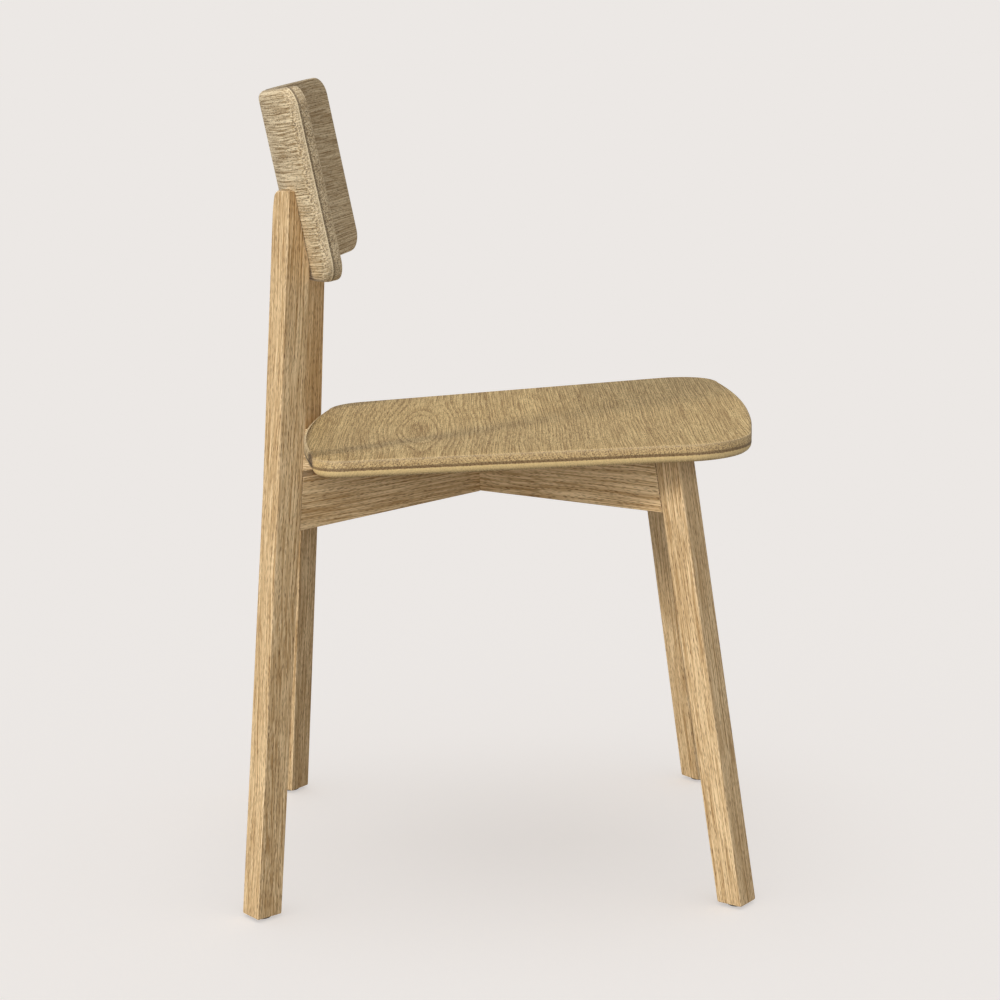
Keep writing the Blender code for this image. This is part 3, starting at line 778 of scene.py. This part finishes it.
def finish_wood():
    for side_name, side in SIDES.items():
        for end_name, end in ENDS.items():
            label = f"{end_name}_{side_name}"
            crest = 0.70 if end > 0 else 0.40
            grain = leg_axis(side, end, crest) - leg_axis(side, end, 0.0)
            leg = make_leg(f"oak_leg_{label}", side, end)
            wood = oak(f"oak_planed_{label}", grain, outward(side, end), leg_axis(side, end, 0.2),
                       (0.055 * side, -0.045 * end), 0.0026, FRAME_TONES, seed=1.7 * side + 0.9 * end)
            dress(leg, wood, f"leg_{label}")
    for name, side in (("rail_rear_left_to_front_right", 1), ("rail_rear_right_to_front_left", -1)):
        rail = make_rail("oak_" + name, side)
        wood = oak("oak_planed_" + name, outward(side, 1), across(side, 1), (0.0, CROSSING_Y, 0.40),
                   (0.040, -0.050 * side), 0.0030, FRAME_TONES, seed=3.1 * side)
        dress(rail, wood, name)
    seat = make_seat()
    wood = oak("oak_panel_dished_seat", (1, 0, 0), (0.0, SEAT_RISE, 1.0), (0.0, CROSSING_Y, SEAT_HEIGHT),
               (0.06, -0.055), 0.0032, PANEL_TONES, plies_and_highlight=SEAT_PLIES, seed=0.4, figure=0.7, rings=0.45)
    dress(seat, wood, "seat")
    back = make_backrest()
    wood = oak("oak_veneer_bent_back", (1, 0, 0), (0, 0, 1), (0, 0, 0), (-0.30, -0.09), 0.0030, BACK_TONES,
               plies_and_highlight=BACK_PLIES_AND_HIGHLIGHT, attribute="veneer", seed=0.9, figure=0.9)
    dress(back, wood, "backrest")


# ---------------------------------------------------------------- small fittings keep their frame shapes

def plain_finish(name, code, roughness, metallic=0.0, grit=2500.0, spread=0.10):
    """A fine even surface with a slight change of tone and grain."""
    material, tree, shader = new_material(name)
    place = add(tree, "TexCoord")
    grain = add(tree, "TexNoise",
                {"Vector": place.outputs["Object"], "Scale": grit, "Detail": 2.0}).outputs["Fac"]
    cloud = add(tree, "TexNoise",
                {"Vector": place.outputs["Object"], "Scale": 120.0, "Detail": 2.0}).outputs["Fac"]
    tone = add(tree, "MapRange", {"Value": cloud, "To Min": 1 - spread, "To Max": 1 + spread}).outputs[0]
    base = add(tree, "VectorMath", {0: linear(code)[:3], "Scale": tone}, operation="SCALE").outputs[0]
    tree.links.new(base, shader.inputs["Base Color"])
    dull = add(tree, "MapRange",
               {"Value": grain, "To Min": roughness - 0.06, "To Max": roughness + 0.08}).outputs[0]
    tree.links.new(dull, shader.inputs["Roughness"])
    bump = add(tree, "Bump", {"Height": grain, "Strength": 0.2, "Distance": 0.00005})
    tree.links.new(bump.outputs[0], shader.inputs["Normal"])
    shader.inputs["Metallic"].default_value = metallic
    return material


def finish_fittings():
    # Zinc plate leaves steel a cool grey with a soft shine, and turned brass shines warm yellow.
    # Moulded nylon is a dark satin, and milled beech is pale, pinkish and dull.
    zinc = plain_finish("steel_zinc_plated", "#B9BDC0", 0.34, 1.0)
    brass = plain_finish("brass_turned", "#C8A85A", 0.32, 1.0)
    nylon = plain_finish("nylon_moulded", "#4A4640", 0.55)
    beech = plain_finish("beech_milled_dry", "#D0AE84", 0.62, grit=900.0)
    for name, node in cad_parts.items():
        if name.startswith("seat_screw"):
            finish = zinc
        elif name.startswith("seat_insert"):
            finish = brass
        elif name.startswith("glide"):
            finish = nylon
        elif name.startswith(("tenon", "back_dowel")):
            finish = beech
        else:
            continue
        node.data.materials.clear()
        node.data.materials.append(finish)


# ---------------------------------------------------------------- studio

# Paper colour, the floor's own reflectance, and the strength of the air and of each light
PAPER = "#ECE8E5"
FLOOR_TONE = 0.62
SKY = 0.38
SKY_COLOUR = (1.0, 0.985, 0.965)
KEY = 1.60
OVERHEAD = 0.42
FILL = 1.2
SIDE = 0.50
CAMERA_PLACE = (-2.4488, 0.0164, 0.8656)
CAMERA_AHEAD = (0.9802, -0.0086, -0.1979)
CAMERA_RIGHT = (-0.0134, -0.9996, -0.0230)
CAMERA_LENS = 86.84


def make_floor():
    """A matt sweep whose own shade is kept, while its far edge melts into the paper behind it."""
    deselect()
    bpy.ops.mesh.primitive_circle_add(vertices=96, radius=40.0, fill_type="NGON")
    floor = take("studio_floor")
    material, tree, shader = new_material("paper_matt_sweep")
    shader.inputs["Base Color"].default_value = (FLOOR_TONE, FLOOR_TONE, FLOOR_TONE, 1.0)
    shader.inputs["Roughness"].default_value = 1.0
    shader.inputs["Specular IOR Level"].default_value = 0.0
    lit = [FLOOR_TONE * (SKY * colour + OVERHEAD / math.pi) for colour in SKY_COLOUR]
    glow = [paper - light for paper, light in zip(linear(PAPER), lit)]
    shader.inputs["Emission Color"].default_value = (*glow, 1.0)
    seen = add(tree, "LightPath").outputs["Is Camera Ray"]
    tree.links.new(seen, shader.inputs["Emission Strength"])
    floor.data.materials.append(material)
    return floor


def sun(name, azimuth, elevation, angle, strength, colour, spared=None):
    """A soft light from a direction, azimuth from +X towards +Y, that can spare one object."""
    data = bpy.data.lights.new(name, "SUN")
    data.energy = strength
    data.angle = math.radians(angle)
    data.color = colour
    lamp = bpy.data.objects.new(name, data)
    bpy.context.scene.collection.objects.link(lamp)
    a = math.radians(azimuth)
    e = math.radians(elevation)
    source = Vector((math.cos(a) * math.cos(e), math.sin(a) * math.cos(e), math.sin(e)))
    lamp.rotation_euler = source.to_track_quat("Z", "Y").to_euler()
    if spared:
        group = bpy.data.collections.new(name + "_spares")
        group.objects.link(spared)
        lamp.light_linking.receiver_collection = group
        group.collection_objects[0].light_linking.link_state = "EXCLUDE"
    return lamp


def make_lights(floor):
    sun("key_light", 120, 25.5, 11, KEY, (1.0, 0.97, 0.93), floor)
    sun("fill_light", 180, 16, 70, FILL, (1.0, 0.98, 0.95), floor)
    sun("side_light", 155, 5, 35, SIDE, (1.0, 0.98, 0.95), floor)
    sun("overhead_light", 90, 90, 50, OVERHEAD, (1.0, 1.0, 1.0))
    world = bpy.data.worlds.new("studio_air")
    bpy.context.scene.world = world
    world.use_nodes = True
    tree = world.node_tree
    seen = add(tree, "LightPath").outputs["Is Camera Ray"]
    lit = tree.nodes["Background"]
    lit.inputs["Color"].default_value = (*SKY_COLOUR, 1.0)
    lit.inputs["Strength"].default_value = SKY
    shown = add(tree, "Background", {"Color": linear(PAPER), "Strength": 1.0})
    mixed = add(tree, "MixShader", {0: seen, 1: lit.outputs[0], 2: shown.outputs[0]})
    tree.links.new(mixed.outputs[0], tree.nodes["World Output"].inputs["Surface"])
    bpy.context.scene.view_settings.view_transform = "Standard"


def make_camera():
    """A long lens from the chair's right-hand side, a little above the seat."""
    data = bpy.data.cameras.new("camera")
    data.sensor_width = 36.0
    data.lens = CAMERA_LENS
    camera = bpy.data.objects.new("camera", data)
    bpy.context.scene.collection.objects.link(camera)
    ahead = Vector(CAMERA_AHEAD).normalized()
    right = Vector(CAMERA_RIGHT)
    up = right.cross(ahead).normalized()
    right = ahead.cross(up)
    turn = Matrix((right, up, -ahead)).transposed()
    camera.matrix_world = Matrix.Translation(CAMERA_PLACE) @ turn.to_4x4()
    bpy.context.scene.camera = camera


finish_wood()
finish_fittings()
make_lights(make_floor())
make_camera()
